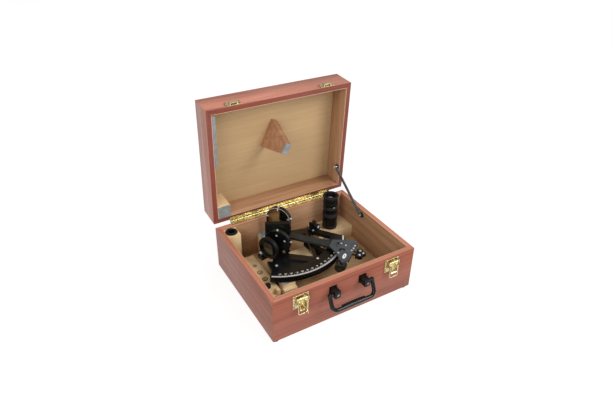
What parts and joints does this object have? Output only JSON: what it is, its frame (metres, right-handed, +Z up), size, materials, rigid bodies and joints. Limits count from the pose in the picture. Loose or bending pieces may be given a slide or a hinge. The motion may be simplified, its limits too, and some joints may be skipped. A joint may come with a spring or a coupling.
{
  "type": "marine sextant in fitted case",
  "caption": "Micrometer sextant with mirrors, shades and index arm, stowed with its telescope and spare eyepiece in a fitted wooden case with a hinged lid, latches and handle.",
  "frame": {"origin": "centre of the case's footprint on the plane under its feet", "axes": "+X right along the case's front, front faces -Y, +Z up"},
  "size_m": [0.31, 0.3367, 0.3616],
  "materials": {
    "wood_outer": "oiled, open grain",
    "panel_ply": "plain ply",
    "pale_wood": "sanded, unfinished",
    "felt": "felt",
    "rubber": "matte",
    "brass": "polished plate",
    "dark_chrome": "dark plated",
    "handle_black": "gloss",
    "frame_black": "black enamel",
    "arm_grey": "dark enamel",
    "plate_grey": "grey enamel",
    "drum_metal": "satin",
    "scale_silver": "satin, engraved",
    "mirror": "front polished",
    "shade_black": "black rim, dark glass",
    "knob_black": "knurled",
    "tube_black": "satin black"
  },
  "bodies": {
    "case_base": {"base_front_board": "wood_outer", "base_back_board": "wood_outer", "base_left_board": "wood_outer", "base_right_board": "wood_outer", "base_bottom_panel": "panel_ply", "rubber_feet": "rubber", "base_screws": "brass", "hinge_lower_leaf": "brass", "hinge_pin": "brass", "latch_plates": "brass", "handle_brackets": "handle_black", "eyepiece_block": "pale_wood", "accessory_block": "pale_wood", "rest_blocks": "pale_wood", "telescope_block": "pale_wood", "rest_felts": "felt", "stay_stud": "dark_chrome"},
    "lid": {"lid_front_board": "wood_outer", "lid_back_board": "wood_outer", "lid_left_board": "wood_outer", "lid_right_board": "wood_outer", "lid_panel": "panel_ply", "hinge_upper_leaf": "brass", "lid_catches": "brass", "hold_down_block": "pale_wood", "lid_corner_block": "pale_wood", "lid_felts": "felt", "stay_bracket": "dark_chrome"},
    "stay": {"stay_arm": "dark_chrome"},
    "lever_left": {"latch_lever_left": "brass"},
    "lever_right": {"latch_lever_right": "brass"},
    "loop_left": {"latch_loop_left": "brass"},
    "loop_right": {"latch_loop_right": "brass"},
    "key": {"latch_key": "brass"},
    "handle": {"carry_handle": "handle_black"},
    "sextant": {"sextant_frame": "frame_black", "arc_scale": "scale_silver", "frame_legs": "frame_black", "grip_handle": "frame_black", "horizon_mirror_mount": "frame_black", "horizon_mirror": "mirror", "telescope_bracket": "frame_black", "shade_brackets": "frame_black"},
    "arm": {"index_arm": "arm_grey", "index_mirror_frame": "frame_black", "index_mirror": "mirror", "micrometer_housing": "plate_grey"},
    "drum": {"micrometer_drum": "drum_metal"},
    "release": {"release_levers": "knob_black"},
    "index_shade_a": {"index_shade_1": "shade_black"},
    "index_shade_b": {"index_shade_2": "shade_black"},
    "index_shade_c": {"index_shade_3": "shade_black"},
    "index_shade_d": {"index_shade_4": "shade_black"},
    "horizon_shade_a": {"horizon_shade_1": "shade_black"},
    "horizon_shade_b": {"horizon_shade_2": "shade_black"},
    "horizon_shade_c": {"horizon_shade_3": "shade_black"},
    "telescope": {"telescope_tube": "tube_black"},
    "telescope_focus": {"telescope_eyepiece": "tube_black"},
    "eyepiece": {"spare_eyepiece": "tube_black"},
    "tool": {"adjusting_key": "knob_black"}
  },
  "joints": [
    {"name": "lid_hinge", "type": "hinge", "parent": "case_base", "child": "lid", "pos_m": [0, 0.1292, 0.1012], "axis": [-1, 0, 0], "range_deg": [-87, 0]},
    {"name": "stay_swing", "type": "hinge", "parent": "lid", "child": "stay", "pos_m": [0.1405, 0.13505, 0.15778], "axis": [-1, 0, 0], "range_deg": [0, 92.6]},
    {"name": "latch_lever_left", "type": "hinge", "parent": "case_base", "child": "lever_left", "pos_m": [-0.1, -0.131, 0.09], "axis": [1, 0, 0], "range_deg": [-100, 0]},
    {"name": "latch_lever_right", "type": "hinge", "parent": "case_base", "child": "lever_right", "pos_m": [0.1, -0.131, 0.09], "axis": [1, 0, 0], "range_deg": [-100, 0]},
    {"name": "latch_loop_left", "type": "hinge", "parent": "lever_left", "child": "loop_left", "pos_m": [-0.1, -0.1348, 0.082], "axis": [-1, 0, 0], "range_deg": [0, 175]},
    {"name": "latch_loop_right", "type": "hinge", "parent": "lever_right", "child": "loop_right", "pos_m": [0.1, -0.1348, 0.082], "axis": [-1, 0, 0], "range_deg": [0, 175]},
    {"name": "latch_key_turn", "type": "hinge", "parent": "lever_left", "child": "key", "pos_m": [-0.1, -0.14, 0.074], "axis": [0, -1, 0], "range_deg": [0, 90]},
    {"name": "carry_handle", "type": "hinge", "parent": "case_base", "child": "handle", "pos_m": [0, -0.137, 0.076], "axis": [-1, 0, 0], "range_deg": [0, 130]},
    {"name": "sextant_lift", "type": "slide", "parent": "case_base", "child": "sextant", "axis": [0, 0, 1], "range_m": [0, 0.1]},
    {"name": "index_arm_swing", "type": "hinge", "parent": "sextant", "child": "arm", "pos_m": [-0.034, 0.077, 0.072], "axis": [0, 0, 1], "range_deg": [-58, 4.5]},
    {"name": "drum_spin", "type": "hinge", "parent": "arm", "child": "drum", "pos_m": [0.06049, -0.03561, 0.064], "axis": [0.766, 0.6428, 0], "continuous": true},
    {"name": "release_press", "type": "slide", "parent": "arm", "child": "release", "axis": [-0.6428, 0.766, 0], "range_m": [0, 0.002], "stiffness_N_per_m": 500},
    {"name": "index_shade_1_swing", "type": "hinge", "parent": "sextant", "child": "index_shade_a", "pos_m": [-0.06419, 0.05961, 0.084], "axis": [-0.454, -0.891, 0], "range_deg": [0, 90]},
    {"name": "index_shade_2_swing", "type": "hinge", "parent": "sextant", "child": "index_shade_b", "pos_m": [-0.06532, 0.05738, 0.084], "axis": [-0.454, -0.891, 0], "range_deg": [0, 90]},
    {"name": "index_shade_3_swing", "type": "hinge", "parent": "sextant", "child": "index_shade_c", "pos_m": [-0.06646, 0.05515, 0.084], "axis": [-0.454, -0.891, 0], "range_deg": [0, 90]},
    {"name": "index_shade_4_swing", "type": "hinge", "parent": "sextant", "child": "index_shade_d", "pos_m": [-0.06759, 0.05293, 0.084], "axis": [-0.454, -0.891, 0], "range_deg": [0, 90]},
    {"name": "horizon_shade_1_swing", "type": "hinge", "parent": "sextant", "child": "horizon_shade_a", "pos_m": [-0.09059, 0.03677, 0.077], "axis": [0.9336, 0.3584, 0], "range_deg": [-90, 0]},
    {"name": "horizon_shade_2_swing", "type": "hinge", "parent": "sextant", "child": "horizon_shade_b", "pos_m": [-0.09292, 0.03587, 0.077], "axis": [0.9336, 0.3584, 0], "range_deg": [-90, 0]},
    {"name": "horizon_shade_3_swing", "type": "hinge", "parent": "sextant", "child": "horizon_shade_c", "pos_m": [-0.09526, 0.03498, 0.077], "axis": [0.9336, 0.3584, 0], "range_deg": [-90, 0]},
    {"name": "telescope_lift", "type": "slide", "parent": "case_base", "child": "telescope", "axis": [0, 0, 1], "range_m": [0, 0.1]},
    {"name": "telescope_focus", "type": "slide", "parent": "telescope", "child": "telescope_focus", "axis": [0, 0, 1], "range_m": [0, 0.012]},
    {"name": "eyepiece_lift", "type": "slide", "parent": "case_base", "child": "eyepiece", "axis": [0, 0, 1], "range_m": [0, 0.05]},
    {"name": "tool_lift", "type": "slide", "parent": "case_base", "child": "tool", "axis": [0, 0, 1], "range_m": [0, 0.04]}
  ],
  "couplings": [
    {"joint": "stay_swing", "follows": "lid_hinge", "ratio": -1.0638}
  ]
}
